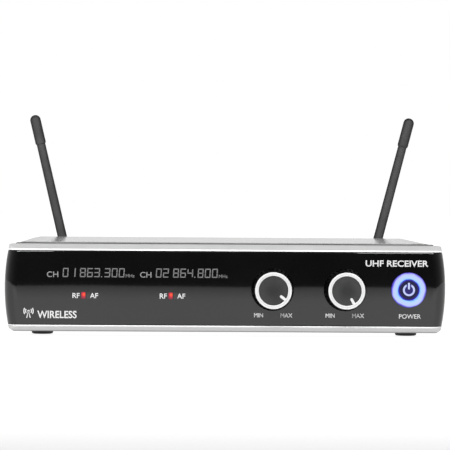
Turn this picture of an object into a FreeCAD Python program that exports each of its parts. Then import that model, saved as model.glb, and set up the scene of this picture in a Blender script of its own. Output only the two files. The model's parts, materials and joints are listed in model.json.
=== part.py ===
import FreeCAD, Part
import math
import os

# A two-channel wireless microphone receiver in a half-rack desktop case, in millimetres.
# +X is to the right seen from the front, +Y runs from the fascia to the rear panel and +Z is up.
# The origin lies on the table, under the centre of the whole thing, knobs and antenna plugs included.
# Most places are given as x, a depth behind the fascia's front face and a height above the case's underside.

V = FreeCAD.Vector

# ---- driving dimensions ----
CASE_W = 202.6          # across the cover's outer faces
CASE_H = 41.8           # underside of the tray to the top of the cover
CASE_D = 160.0          # fascia's front face to the rear panel's outer face
BEZEL_W = 210.0         # across the bulging cheeks, at mid height
FOOT_H = 2.8
KNOB_PROUD = 14.0       # knob's face in front of the fascia
REAR_PROUD = 25.0       # antenna knuckles behind the rear panel

# ---- gaps and tools ----
FIT = 0.05              # gap round a screw, a shaft or a pushed-in piece
GAP = 0.1               # gap between pieces that only lie side by side
OVER = 1.0              # how far a cutting tool runs past what it cuts
WIDE = 120.0            # half width of a tool that cuts right across the case
SIGNS = ((-1, -1), (1, -1), (1, 1), (-1, 1))    # corners of a rectangle, in order

# ---- front: bezel, fascia and gasket ----
FASCIA_T = 2.4
FASCIA_LOW, FASCIA_HIGH = 2.8, 38.15
TOP_ROUND, LOW_ROUND = 0.7, 0.25    # rounding along the fascia's top and bottom edges
MID_H = (FASCIA_LOW + FASCIA_HIGH) / 2
FLAT_HALF = 98.6        # half width of the fascia's flat front
CHEEK_D = 12.0          # how far the fascia wraps back round the sides
CHEEK_HALF = BEZEL_W / 2
BARREL_R = 95.0         # radius of the cheeks' bulge, seen from the front
BARREL_SWEEP = 15.0     # half angle revolved for a cheek, in degrees, before it is cut to height
BLANK_X = 85.0          # where the revolved cheek takes over from the straight middle
BLANK_LAP = 3.0         # overlap of the middle and the cheeks
BEZEL_D = 20.0
BEZEL_LOW, BEZEL_TOP = -0.45, 40.95
BEZEL_REAR_HALF = 101.9
BEZEL_WAIST = (CHEEK_HALF, CHEEK_D + 2, 6.0)    # where the bezel turns in behind the cheeks, and its rounding
LAND = 0.8              # height of the bright upright edge beside the fascia
SLOPE_D = 5.0           # depth of the sloping lip
LIP_ROUND = 2.5         # where the slope meets the level part of the lip
TOP_END, LOW_END = 103.0, 100.6         # where the ends of the two lips turn in, seen from the front
LIP_END_ROUND, LIP_CORNER = 1.8, 104.9
CAVITY_HALF, CAVITY_LOW, CAVITY_HIGH = 98.0, 6.0, 35.8
BOSS_IN, BOSS_TALL = 89.0, 5.5          # blocks in the bezel's corners for the front board's screws
GASKET_T = 1.0
GASKET_EDGE = 0.4       # the gasket stops this far inside the cover's outer face
GASKET_TOP, GASKET_CORNER = 41.4, 1.2
GASKET_WINDOW = (96.0, 7.5, 35.0)       # half width, low and high of its opening
SHELL_D = BEZEL_D + GASKET_T + GAP      # where the cover and the tray start

# ---- sheet metal ----
COVER_T = 1.0
TRAY_T = 1.2
REAR_T = 1.5
CROWN_HALF, CROWN_FALL = 96.5, 0.2       # the cover is level this far out, then falls at this slope
COVER_BEND = 2.0
COVER_LIP_HALF, COVER_LIP_LOW = 95.0, 35.8      # flange turned down inside the cover's rear edge
TRAY_HALF = CASE_W / 2 - COVER_T - 0.2
TRAY_SIDE = (30.0, 150.0, 13.0)         # start, end and height of the tray's side flanges
TRAY_FRONT = (95.0, 8.5)                # half width and height of its front flange
TRAY_REAR = (97.0, 7.4)
REAR_IN = CASE_D - REAR_T               # rear panel's inner face
REAR_TOP, REAR_CORNER = 40.7, 1.0
FLANGE_D = REAR_IN - GAP - TRAY_T       # front of the upright flanges that the rear panel is screwed to
VENT_X, VENT_HALF, VENT_W = 40.0, 14.0, 3.0
VENT_D, VENT_PITCH, VENT_ROWS = 78.0, 7.0, 7
FOOT_R, FOOT_ROUND = 5.5, 0.9
FEET = [(x, d) for x in (-88.0, 88.0) for d in (27.0, 146.0)]

# ---- fasteners ----
SCREW_R, SCREW_HEAD_R, SCREW_HEAD_H = 1.15, 2.3, 1.5
CROSS_LONG, CROSS_WIDE, CROSS_DEEP = 2.6, 0.6, 0.8
LOOSE = 0.3             # extra radius of a hole that a screw passes through
COVER_SCREWS = [(d, 8.0) for d in (42.0, 92.0, 142.0)]
REAR_SCREWS = [(x, 5.2) for x in (-92.0, 0.0, 92.0)] + [(x, 38.2) for x in (-69.0, 0.0, 69.0)]
BEZEL_SCREWS = [(x, 4.2) for x in (-85.0, -30.0, 30.0, 85.0)]
FRONT_BOARD_SCREWS = [(x, h) for x in (-92.5, 92.5) for h in (9.0, 32.8)]
STANDOFFS = [(x, d) for x in (-88.0, 88.0) for d in (50.0, 92.0)]
STANDOFF_R = 3.0
LONG_SCREW, MID_SCREW, SHORT_SCREW = 7.5, 6.0, 5.0

# ---- front controls ----
KNOB_X = {"ch1": 22.3, "ch2": 56.7}
KNOB_H = 20.1
KNOB_DIAL = {"ch1": 127.0, "ch2": 150.0}    # pointer, in degrees clockwise from 12 o'clock
KNOB_BASE_R, KNOB_FRONT_R = 10.1, 9.0
KNOB_GAP = 0.6
KNOB_HOLLOW_R, KNOB_HOLLOW_D = 6.6, -2.9    # hollow that clears the pot's nut
KNOB_RIBS, GROOVE_R, GROOVE_LIFT = 30, 0.62, 0.16
RING_IN, RING_OUT, RING_T = 6.93, 8.66, 0.8
POINTER_W, POINTER_IN, POINTER_T = 1.3, 3.9, 0.38
CAP_SINK = 0.4          # the knob's cap lies this far behind its ring
SHAFT_R, SHAFT_FRONT, SHAFT_END = 3.0, -11.3, 9.3
POT_R, BUSH_R, BUSH_FRONT = 8.0, 3.5, -2.6
POT_NUT_FLATS, POT_NUT_T = 10.0, 1.9
POWER_X, POWER_H = 87.0, 20.25
POWER_RING_IN, POWER_RING_OUT = 5.15, 8.3
POWER_RING_FACE, POWER_RING_END = -1.0, 5.6
POWER_CAP_R, POWER_CAP_FACE, POWER_CAP_END = 5.0, -0.8, 3.4
POWER_TRAVEL = 1.5
STEM_R, STEM_END = 1.9, 7.4
MARK_OUT, MARK_IN, MARK_NOTCH = 2.85, 2.0, 1.15     # power mark's ring and half the width of its gap
MARK_BAR_HALF, MARK_BAR_LOW, MARK_BAR_HIGH = 0.45, 0.3, 3.5
MARK_DEEP = 0.2         # the mark is let this far into the button's face, and stands a little proud
RF_LENS_X = {"ch1": -67.3, "ch2": -26.0}    # radio signal light of each channel
AF_LENS_X = {"ch1": -64.9, "ch2": -23.6}    # audio signal light, beside it
LENS_X = [*RF_LENS_X.values(), *AF_LENS_X.values()]
LENS_H, LENS_W, LENS_TALL, LENS_ROUND = 16.8, 1.9, 3.1, 0.3
LENS_FACE, LENS_END = -0.15, 8.0
FRONT_BOARD_D = 12.0    # front face of the front board
BOARD_T = 1.6
LED_T = 1.2

# ---- rear connectors ----
SOCKET_H = CASE_H / 2
XLR_X = {"ch1": -50.0, "ch2": 50.0}
XLR_FLANGE_W, XLR_FLANGE_H, XLR_FLANGE_T, XLR_CORNER = 26.0, 31.0, 2.0, 3.0
XLR_BARREL_R, XLR_BORE_R, XLR_FLOOR = 11.7, 9.5, 148.5
XLR_COLLAR_R, XLR_MOUTH = 12.0, CASE_D + 3.2
XLR_INSERT_T = 2.5
XLR_RIB_HALF, XLR_RIB_TOP = 1.0, 8.4        # keyway rib in the bottom of the bore
XLR_SCREW = (9.5, 12.0)
XLR_PIN_R, XLR_PIN_CIRCLE, XLR_PIN_TAIL = 1.2, 4.3, 6.5
XLR_PIN_ANGLES = (40, 140, 270)
XLR_PIN_TIP = XLR_MOUTH - 5.0
MIX_X, MIX_BORE_R, MIX_FLOOR, MIX_MOUTH = -14.0, 3.2, 136.0, CASE_D + 6.0
MIX_NOZZLE_R, MIX_HALF_W, MIX_HALF_H, MIX_WALL = 4.5, 7.5, 7.0, 3.0
MIX_NUT_FLATS, MIX_NUT_T, WASHER_R, WASHER_T = 12.0, 2.4, 7.0, 0.6
DC_X, DC_H, DC_FLOOR, DC_MOUTH = 14.0, 16.1, 150.0, CASE_D + 0.6
DC_HALF_W, DC_TOP, DC_BACK = 4.5, 20.6, 5.0
DC_NOSE_R, DC_BORE_R, DC_PIN_R, DC_ROOT_R, DC_ROOT = 4.0, 3.15, 1.0, 1.5, 2.5
DC_PIN_TIP = CASE_D - 0.4
JACK_X, JACK_H = 82.7, 28.0
JACK_FLANGE_R, JACK_FLANGE_T = 7.0, 1.8
JACK_BARREL_R, JACK_BARREL_L, JACK_SHANK_R, JACK_SHANK_L = 4.8, 9.4, 4.7, 11.0
JACK_BORE_R, JACK_BORE_D = 4.1, CASE_D + 2.5
CORE_R, CORE_BORE_R, CORE_L = 2.3, 0.85, 5.5
JACK_NUT_FLATS, JACK_NUT_T = 12.7, 2.3

# ---- antennas, about their hinge axis ----
ANTENNA_TILT = {-1: 13.3, 1: 14.5}      # outward lean of the left and the right whip, in degrees
WHIP_L = 81.5           # hinge axis to tip
KNUCKLE_R = 4.8
PIVOT_D = CASE_D + REAR_PROUD - KNUCKLE_R
PLUG_START, PLUG_END = CASE_D + 2.0 - PIVOT_D, -7.5     # along Y from the hinge axis
PLUG_R, PLUG_ROUND, PLUG_RUN, PLUG_BORE_L = 7.2, 0.4, 0.08, 8.6
GRIP_GROOVES, GRIP_R, GRIP_DEPTH, GRIP_MARGIN = 24, 7.5, 0.5, 2.2
CONTACT_R, CONTACT_L, CONTACT_TIP = 0.7, 7.5, -15.8
ELBOW_R, ELBOW_BACK = 6.0, -5.0
EAR_IN, EAR_OUT = 2.45, 4.9
PIN_R, PIN_RUN, PIN_GRIP = 1.5, 0.06, 0.02      # hinge pin, its gap in the whip and in the ears
TONGUE_HALF, TONGUE_R, TONGUE_BODY_HALF = 2.3, 4.6, 3.6
BOOT_LOW, BOOT_R, BOOT_WAIST = 5.4, 3.9, 7.5
ROD_START, ROD_BASE_R, ROD_TIP_R = 12.5, 2.55, 2.33
CAP_L, CAP_R, CAP_LIP_R, CAP_LIP_L = 16.0, 2.85, 2.63, 0.8
ROD_END = WHIP_L - 3.5
CAP_BORE_R, CAP_BORE_END = 2.43, WHIP_L - 3.4

# ---- inside ----
MAIN_BOARD_H = 8.0      # underside of the main board
BOARD_TOP = MAIN_BOARD_H + BOARD_T
MAIN_HALF, MAIN_START, MAIN_END = 95.0, 42.0, 136.0
TONGUE_X = (5.0, 24.0)  # stretch of the main board that runs back under the power socket
CAN_X, CAN_D, CAN_TOP, CAN_T = (54.0, 92.0), (100.0, 132.0), 18.0, 0.5
LEAD_R, LEAD_BEND, LEAD_DROP_D = 1.2, 8.0, 116.0
CAPACITORS = [      # x, depth, radius and height above the board
    (0, 124, 6.3, 20), (-16, 122, 5, 16), (-16, 108, 4, 12), (0, 107, 4, 12),
    (-34, 88, 3.2, 8), (34, 88, 3.2, 8), (-34, 76, 3.2, 8), (34, 76, 3.2, 8),
]
CAPACITOR_ROUND = 0.5
PACKAGES = [        # x, depth, width, length and thickness
    (-20, 70, 10, 10, 1.6), (20, 70, 10, 10, 1.6), (0, 86, 9, 6, 1.8),
    (-60, 70, 12, 7, 1.8), (60, 70, 12, 7, 1.8), (-60, 84, 5, 4, 1.4), (60, 84, 5, 4, 1.4),
]
SINK_X, SINK_SPINE, SINK_REACH = 26.0, 3.0, 18.0
SINK_D, SINK_L, SINK_TOP, SINK_FINS, FIN_T = 108.0, 22.0, 30.0, 6, 1.2
REG_D, REG_HALF, REG_T, REG_TAB_T = 119.0, 5.0, 4.4, 1.3
REG_LOW, REG_HIGH, REG_TAB_HIGH = 13.0, 22.5, 28.0
LEG_PITCH, LEG_W, LEG_T = 2.54, 1.0, 0.6
RIBBON_H, RIBBON_D, RIBBON_HALF, RIBBON_T, RIBBON_BEND = 26.0, 50.0, 10.0, 0.9, 6.0
HEADER_HALF, HEADER_REACH, HEADER_FRONT_END, HEADER_TOP = 11.0, 3.0, 19.5, 17.0

FASCIA_Y = KNOB_PROUD - (KNOB_PROUD + CASE_D + REAR_PROUD) / 2


# ---- helpers ----
def back(depth):
    """Y of a point this deep behind the fascia's front face."""
    return FASCIA_Y + depth


def up(height):
    """Z of a point this high above the case's underside."""
    return FOOT_H + height


def unit(vector):
    return V(vector) / vector.Length


def outline(place, corners):
    """A closed wire round (u, v) corners, each rounded if a radius follows; place(u, v) gives the point."""
    ends = []
    for i, corner in enumerate(corners):
        here = V(corner[0], corner[1], 0)
        radius = corner[2] if len(corner) > 2 else 0
        if not radius:
            ends.append((here, None, here))
            continue
        before = unit(V(*corners[i - 1][:2], 0) - here)
        after = unit(V(*corners[(i + 1) % len(corners)][:2], 0) - here)
        half = before.getAngle(after) / 2
        inward = unit(before + after)
        reach = radius / math.tan(half)
        crown = here + inward * (radius / math.sin(half) - radius)
        ends.append((here + before * reach, crown, here + after * reach))
    edges = []
    for i, (start, crown, end) in enumerate(ends):
        points = [place(p.x, p.y) for p in (start, crown, end) if p is not None]
        if crown is not None:
            edges.append(Part.Arc(*points).toShape())
        following = ends[(i + 1) % len(ends)][0]
        if (following - end).Length > 1e-6:
            edges.append(Part.makeLine(points[-1], place(following.x, following.y)))
    return Part.Wire(edges)


def prism(plane, corners, start, length):
    """A straight-sided solid. front corners are (x, height), plan (x, depth) and side (depth, height)."""
    place, push = {
        "front": (lambda u, v: V(u, back(start), up(v)), V(0, length, 0)),
        "plan": (lambda u, v: V(u, back(v), up(start)), V(0, 0, length)),
        "side": (lambda u, v: V(start, back(u), up(v)), V(length, 0, 0)),
    }[plane]
    return Part.Face(outline(place, corners)).extrude(push)


def block(x0, x1, d0, d1, h0, h1):
    """A box from two x values, two depths and two heights."""
    return Part.makeBox(x1 - x0, d1 - d0, h1 - h0, V(x0, back(d0), up(h0)))


def rounded_plate(x, height, half_w, half_h, corner, d0, d1):
    """A rounded rectangle seen from the front, between two depths."""
    corners = [(x + sx * half_w, height + sz * half_h, corner) for sx, sz in SIGNS]
    return prism("front", corners, d0, d1 - d0)


def bar_x(x0, x1, depth, height, radius):
    return Part.makeCylinder(radius, x1 - x0, V(x0, back(depth), up(height)), V(1, 0, 0))


def bar_y(x, height, radius, d0, d1):
    return Part.makeCylinder(radius, d1 - d0, V(x, back(d0), up(height)), V(0, 1, 0))


def bar_z(x, depth, radius, h0, h1):
    return Part.makeCylinder(radius, h1 - h0, V(x, back(depth), up(h0)), V(0, 0, 1))


def hex_y(x, height, flats, d0, d1):
    """A hexagonal bar along Y, flat at the top and bottom."""
    reach = flats / math.sqrt(3)
    corners = [
        (x + reach * math.cos(math.radians(a)), height + reach * math.sin(math.radians(a)))
        for a in range(0, 360, 60)
    ]
    return prism("front", corners, d0, d1 - d0)


def turned(corners, x, height):
    """A solid of revolution about the Y line through (x, height); corners are (radius, depth[, rounding])."""
    face = Part.Face(outline(lambda r, d: V(x + r, back(d), up(height)), corners))
    return face.revolve(V(x, 0, up(height)), V(0, 1, 0), 360)


def turned_z(corners, centre=V(0, 0, 0)):
    """A solid of revolution about an upright line; corners are (radius, z[, rounding])."""
    face = Part.Face(outline(lambda r, z: centre + V(r, 0, z), corners))
    return face.revolve(centre, V(0, 0, 1), 360)


def mirrored(shape):
    return shape.mirror(V(0, 0, 0), V(1, 0, 0))


def join(*shapes):
    return shapes[0].multiFuse(list(shapes[1:])).removeSplitter()


def group(shapes):
    return Part.makeCompound(list(shapes))


def about_y(shape, x, height, degrees):
    """The shape turned clockwise, seen from the front, about the Y line through (x, height)."""
    return shape.rotated(V(x, 0, up(height)), V(0, 1, 0), degrees)


def round_edges(shape):
    return [edge for edge in shape.Edges if edge.Closed]


def tube(points, radius, bend):
    """A round lead along (x, depth, height) points, its corners bent to one radius."""
    route = [V(x, back(d), up(h)) for x, d, h in points]
    edges, here = [], route[0]
    for before, corner, after in zip(route, route[1:], route[2:]):
        inward, outward = unit(before - corner), unit(after - corner)
        half = inward.getAngle(outward) / 2
        reach = bend / math.tan(half)
        crown = corner + unit(inward + outward) * (bend / math.sin(half) - bend)
        edges.append(Part.makeLine(here, corner + inward * reach))
        here = corner + outward * reach
        edges.append(Part.Arc(corner + inward * reach, crown, here).toShape())
    edges.append(Part.makeLine(here, route[-1]))
    section = Part.Wire(Part.makeCircle(radius, route[0], route[1] - route[0]))
    return Part.Wire(edges).makePipeShell([section], True, False)


# ---- fasteners ----
def screw(length):
    """A pan-head screw with a cross recess: head on +Y from the origin, shank along -Y."""
    face = Part.Face(outline(lambda r, y: V(r, y, 0), [
        (0, -length), (SCREW_R, -length), (SCREW_R, 0), (SCREW_HEAD_R, 0),
        (SCREW_HEAD_R, SCREW_HEAD_H, SCREW_HEAD_H / 2), (0, SCREW_HEAD_H),
    ]))
    body = face.revolve(V(0, 0, 0), V(0, 1, 0), 360)
    slots = [
        Part.makeBox(wide, OVER, tall, V(-wide / 2, SCREW_HEAD_H - CROSS_DEEP, -tall / 2))
        for wide, tall in ((CROSS_LONG, CROSS_WIDE), (CROSS_WIDE, CROSS_LONG))
    ]
    return body.cut(slots)


def screw_at(x, depth, height, length, facing):
    """A screw whose head sits at this point and looks along facing."""
    shape = screw(length)
    shape.Placement = FreeCAD.Placement(
        V(x, back(depth), up(height)), FreeCAD.Rotation(V(0, 1, 0), V(*facing))
    )
    return shape


def flange_holes(radius, d0, d1):
    """Holes for the two screws in opposite corners of each XLR flange."""
    u, v = XLR_SCREW
    return [
        bar_y(x + sign * u, SOCKET_H + sign * v, radius, d0, d1) for x in XLR_X.values() for sign in (-1, 1)
    ]


def rear_holes(radius, d0, d1, low=0.0, high=CASE_H):
    """Rear-panel screw holes whose height lies between low and high."""
    return [bar_y(x, h, radius, d0, d1) for x, h in REAR_SCREWS if low < h < high]


def bezel_holes(d0, d1, radius=SCREW_R + LOOSE):
    return [bar_y(x, h, radius, d0, d1) for x, h in BEZEL_SCREWS]


def cover_screws():
    half = CASE_W / 2
    right = [screw_at(half, d, h, SHORT_SCREW, (1, 0, 0)) for d, h in COVER_SCREWS]
    left = [screw_at(-half, d, h, SHORT_SCREW, (-1, 0, 0)) for d, h in COVER_SCREWS]
    return group(right + left)


def rear_panel_screws():
    return group(screw_at(x, CASE_D, h, SHORT_SCREW, (0, 1, 0)) for x, h in REAR_SCREWS)


def connector_screws():
    u, v = XLR_SCREW
    face = CASE_D + XLR_FLANGE_T
    return group(
        screw_at(x + sign * u, face, SOCKET_H + sign * v, MID_SCREW, (0, 1, 0))
        for x in XLR_X.values() for sign in (-1, 1)
    )


def bezel_screws():
    return group(screw_at(x, SHELL_D + TRAY_T, h, LONG_SCREW, (0, 1, 0)) for x, h in BEZEL_SCREWS)


def board_screws():
    """Four through the front board into the bezel and four through the main board into its standoffs."""
    rear_face = FRONT_BOARD_D + BOARD_T
    front = [screw_at(x, rear_face, h, SHORT_SCREW, (0, 1, 0)) for x, h in FRONT_BOARD_SCREWS]
    main = [screw_at(x, d, BOARD_TOP, SHORT_SCREW, (0, 0, 1)) for x, d in STANDOFFS]
    return group(front + main)


# ---- bezel, fascia and gasket ----
def cheek(corners):
    """A plan outline at mid height, swept round the barrel so that it bulges seen from the front."""
    centre = V(CHEEK_HALF - BARREL_R, 0, up(MID_H))
    face = Part.Face(outline(lambda x, d: V(x, back(d), up(MID_H)), corners))
    return face.rotated(centre, V(0, 1, 0), -BARREL_SWEEP).revolve(centre, V(0, 1, 0), 2 * BARREL_SWEEP)


def wrapped(corners, front, rear):
    """A straight middle between two depths, with a cheek of this plan outline on both sides."""
    middle_half = BLANK_X + BLANK_LAP
    side = cheek(corners)
    return join(block(-middle_half, middle_half, front, rear, -OVER, CASE_H), side, mirrored(side))


def fascia_solid(inset, gap):
    """The fascia's outer form, drawn in by inset all over its outside and grown in height by gap."""
    half, rear = CHEEK_HALF - inset, CHEEK_D + gap
    corners = [(BLANK_X, inset), (half, inset, half - FLAT_HALF), (half, rear), (BLANK_X, rear)]
    full = wrapped(corners, inset, rear)
    return full.common(block(-WIDE, WIDE, -OVER, rear + OVER, FASCIA_LOW - gap, FASCIA_HIGH + gap))


def fascia_rim(shape, height):
    """The edges along the fascia's top or bottom, round its cheeks but not across its back."""
    def on_rim(box):
        return box.ZLength < FIT and box.YMin < back(CHEEK_D) - FIT and abs(box.ZMin - up(height)) < FIT
    return [edge for edge in shape.Edges if on_rim(edge.BoundBox)]


def control_holes():
    """What the fascia is pierced for: pot bushes, power ring and the signal lenses."""
    end = FASCIA_T + OVER
    holes = [bar_y(x, KNOB_H, BUSH_R + GAP, -OVER, end) for x in KNOB_X.values()]
    holes.append(bar_y(POWER_X, POWER_H, POWER_RING_OUT + FIT, -OVER, end))
    half_w, half_h = LENS_W / 2 + FIT, LENS_TALL / 2 + FIT
    holes += [rounded_plate(x, LENS_H, half_w, half_h, LENS_ROUND + FIT, -OVER, end) for x in LENS_X]
    return holes


def front_fascia():
    form = fascia_solid(0, 0)
    form = form.makeFillet(TOP_ROUND, fascia_rim(form, FASCIA_HIGH))
    form = form.makeFillet(LOW_ROUND, fascia_rim(form, FASCIA_LOW))
    return form.cut([fascia_solid(FASCIA_T, 0.5), *control_holes()])


def bezel_bosses():
    """Four blocks inside the bezel's corners that the front board is screwed to."""
    low = (CAVITY_LOW - GAP, CAVITY_LOW + BOSS_TALL)
    high = (CAVITY_HIGH - BOSS_TALL, CAVITY_HIGH + GAP)
    right = [block(BOSS_IN, CAVITY_HALF + GAP, FASCIA_T + FIT, FRONT_BOARD_D, *span) for span in (low, high)]
    return right + [mirrored(b) for b in right]


def front_bezel():
    corners = [(BLANK_X, 0), (CHEEK_HALF, 0, CHEEK_HALF - FLAT_HALF), BEZEL_WAIST,
               (BEZEL_REAR_HALF, BEZEL_D), (BLANK_X, BEZEL_D)]
    blank = wrapped(corners, 0, BEZEL_D)
    low, high = FASCIA_LOW - LAND, FASCIA_HIGH + LAND
    rise, fall = (BEZEL_TOP - high) / SLOPE_D * OVER, (low - BEZEL_LOW) / SLOPE_D * OVER
    lips = [
        (-OVER, low + fall), (-OVER, high - rise), (SLOPE_D, BEZEL_TOP, LIP_ROUND),
        (BEZEL_D + OVER, BEZEL_TOP), (BEZEL_D + OVER, BEZEL_LOW), (SLOPE_D, BEZEL_LOW, LIP_ROUND),
    ]
    right = [
        (LOW_END, BEZEL_LOW, LIP_END_ROUND), (LIP_CORNER, FASCIA_LOW - GAP), (WIDE, FASCIA_LOW + WIDE - LIP_CORNER),
        (WIDE, FASCIA_HIGH), (LIP_CORNER, FASCIA_HIGH), (TOP_END, BEZEL_TOP, LIP_END_ROUND),
    ]
    left = [(-x, *rest) for x, *rest in reversed(right)]
    blank = blank.common(prism("side", lips, -WIDE, 2 * WIDE))
    blank = blank.common(prism("front", right + left, -OVER, BEZEL_D + 2 * OVER))
    pocket = fascia_solid(0, FIT).cut(fascia_solid(FASCIA_T + FIT, 0.5))
    cavity = block(-CAVITY_HALF, CAVITY_HALF, -OVER, BEZEL_D + OVER, CAVITY_LOW, CAVITY_HIGH)
    frame = join(blank.cut([pocket, cavity]), *bezel_bosses())
    pilots = [bar_y(x, h, SCREW_R + FIT, FRONT_BOARD_D - SHORT_SCREW, FRONT_BOARD_D + OVER)
              for x, h in FRONT_BOARD_SCREWS]
    return frame.cut(pilots + bezel_holes(BEZEL_D - LONG_SCREW, BEZEL_D + OVER, SCREW_R + FIT))


def crowned(half, low, top, bend, depth, length):
    """A solid with the case's outline: upright sides, rounded shoulders and a top that falls towards them."""
    shoulder = top - (half - CROWN_HALF) * CROWN_FALL
    right = [(half, low), (half, shoulder, bend), (CROWN_HALF, top)]
    left = [(-x, *rest) for x, *rest in reversed(right)]
    return prism("front", right + left, depth, length)


def bezel_gasket():
    half, low = CASE_W / 2 - GASKET_EDGE, GASKET_EDGE / 2
    corners = [(half, low), (half, GASKET_TOP, GASKET_CORNER), (-half, GASKET_TOP, GASKET_CORNER), (-half, low)]
    ring = prism("front", corners, BEZEL_D, GASKET_T)
    window_half, window_low, window_high = GASKET_WINDOW
    d0, d1 = BEZEL_D - OVER, SHELL_D + OVER
    return ring.cut([block(-window_half, window_half, d0, d1, window_low, window_high)] + bezel_holes(d0, d1))


# ---- sheet metal ----
def top_cover():
    half, inner = CASE_W / 2, CASE_W / 2 - COVER_T
    top, bend, drop = CASE_H - COVER_T, COVER_BEND - COVER_T, -OVER
    skin = crowned(half, 0, CASE_H, COVER_BEND, SHELL_D, CASE_D - SHELL_D)
    hollow = crowned(inner, drop, top, bend, SHELL_D - OVER, CASE_D - SHELL_D + 2 * OVER)
    lip = block(-COVER_LIP_HALF, COVER_LIP_HALF, FLANGE_D, FLANGE_D + COVER_T, COVER_LIP_LOW, top + FIT)
    holes = [bar_x(-half - OVER, half + OVER, d, h, SCREW_R + LOOSE) for d, h in COVER_SCREWS]
    holes += rear_holes(SCREW_R + GAP, FLANGE_D - OVER, REAR_IN, low=COVER_LIP_LOW)
    return join(skin.cut(hollow), lip).cut(holes)


def vent_slots():
    slots = []
    for side in (-1, 1):
        for row in range(VENT_ROWS):
            depth = VENT_D + VENT_PITCH * row
            corners = [
                (side * VENT_X + sx * VENT_HALF, depth + sy * VENT_W / 2, VENT_W / 2 - FIT) for sx, sy in SIGNS
            ]
            slots.append(prism("plan", corners, -OVER, TRAY_T + 2 * OVER))
    return slots


def chassis_tray():
    end, foot = REAR_IN - GAP, TRAY_T - FIT
    floor = block(-TRAY_HALF, TRAY_HALF, SHELL_D, end, 0, TRAY_T)
    start, stop, tall = TRAY_SIDE
    sides = [block(x, x + TRAY_T, start, stop, foot, tall) for x in (-TRAY_HALF, TRAY_HALF - TRAY_T)]
    front_half, front_tall = TRAY_FRONT
    rear_half, rear_tall = TRAY_REAR
    front = block(-front_half, front_half, SHELL_D, SHELL_D + TRAY_T, foot, front_tall)
    rear = block(-rear_half, rear_half, FLANGE_D, end, foot, rear_tall)
    holes = [bar_x(-WIDE, WIDE, d, h, SCREW_R + FIT) for d, h in COVER_SCREWS]
    holes += rear_holes(SCREW_R + FIT, FLANGE_D - OVER, REAR_IN, high=rear_tall)
    holes += bezel_holes(SHELL_D - OVER, SHELL_D + TRAY_T + OVER)
    return join(floor, *sides, front, rear).cut(vent_slots() + holes)


def rear_panel():
    half = CASE_W / 2 - COVER_T - GAP
    plate = crowned(half, GAP, REAR_TOP, REAR_CORNER, REAR_IN, REAR_T)
    through = (REAR_IN - OVER, CASE_D + OVER)
    holes = rear_holes(SCREW_R + LOOSE, *through) + flange_holes(SCREW_R + GAP, *through)
    holes += [bar_y(x, SOCKET_H, XLR_BARREL_R + GAP, *through) for x in XLR_X.values()]
    holes += [bar_y(x, JACK_H, JACK_SHANK_R + GAP, *through) for x in (-JACK_X, JACK_X)]
    holes.append(bar_y(MIX_X, SOCKET_H, MIX_NOZZLE_R + GAP, *through))
    holes.append(bar_y(DC_X, DC_H, DC_NOSE_R + GAP, *through))
    return plate.cut(holes)


def rubber_feet():
    """Bumpers with a rounded lower edge, stuck under the tray."""
    profile = [(0, 0), (FOOT_R - FOOT_ROUND / 2, 0, FOOT_ROUND), (FOOT_R, FOOT_H), (0, FOOT_H)]
    return group(turned_z(profile, V(x, back(d), 0)) for x, d in FEET)


# ---- rear connectors ----
def xlr_shell(channel):
    """Square flange and round shell of a male chassis XLR, with its keyway rib."""
    x = XLR_X[channel]
    flange = rounded_plate(x, SOCKET_H, XLR_FLANGE_W / 2, XLR_FLANGE_H / 2, XLR_CORNER,
                           CASE_D, CASE_D + XLR_FLANGE_T)
    collar = turned([(0, CASE_D + OVER), (XLR_COLLAR_R, CASE_D + OVER), (XLR_COLLAR_R, XLR_MOUTH, 0.5),
                     (0, XLR_MOUTH)], x, SOCKET_H)
    barrel = bar_y(x, SOCKET_H, XLR_BARREL_R, XLR_FLOOR - XLR_INSERT_T, CASE_D + OVER)
    bore = bar_y(x, SOCKET_H, XLR_BORE_R, XLR_FLOOR - XLR_INSERT_T - OVER, XLR_MOUTH + OVER)
    rib = block(x - XLR_RIB_HALF, x + XLR_RIB_HALF, XLR_FLOOR, CASE_D + XLR_FLANGE_T,
                SOCKET_H - XLR_BORE_R - LOOSE, SOCKET_H - XLR_RIB_TOP)
    holes = flange_holes(SCREW_R + GAP, CASE_D - OVER, XLR_MOUTH)
    return join(join(flange, collar, barrel).cut([bore] + holes), rib)


def xlr_pin_spots():
    """Every pin's x and height, in both sockets."""
    return [
        (x + XLR_PIN_CIRCLE * math.cos(math.radians(a)), SOCKET_H + XLR_PIN_CIRCLE * math.sin(math.radians(a)))
        for x in XLR_X.values() for a in XLR_PIN_ANGLES
    ]


def xlr_inserts():
    start = XLR_FLOOR - XLR_INSERT_T
    holes = [bar_y(x, h, XLR_PIN_R + FIT, start - OVER, XLR_FLOOR + OVER) for x, h in xlr_pin_spots()]
    return group(bar_y(x, SOCKET_H, XLR_BORE_R - FIT, start, XLR_FLOOR).cut(holes) for x in XLR_X.values())


def xlr_pins():
    tail = XLR_FLOOR - XLR_PIN_TAIL
    profile = [(0, tail), (XLR_PIN_R, tail), (XLR_PIN_R, XLR_PIN_TIP, XLR_PIN_R * 0.6), (0, XLR_PIN_TIP)]
    return group(turned(profile, x, h) for x, h in xlr_pin_spots())


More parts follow.
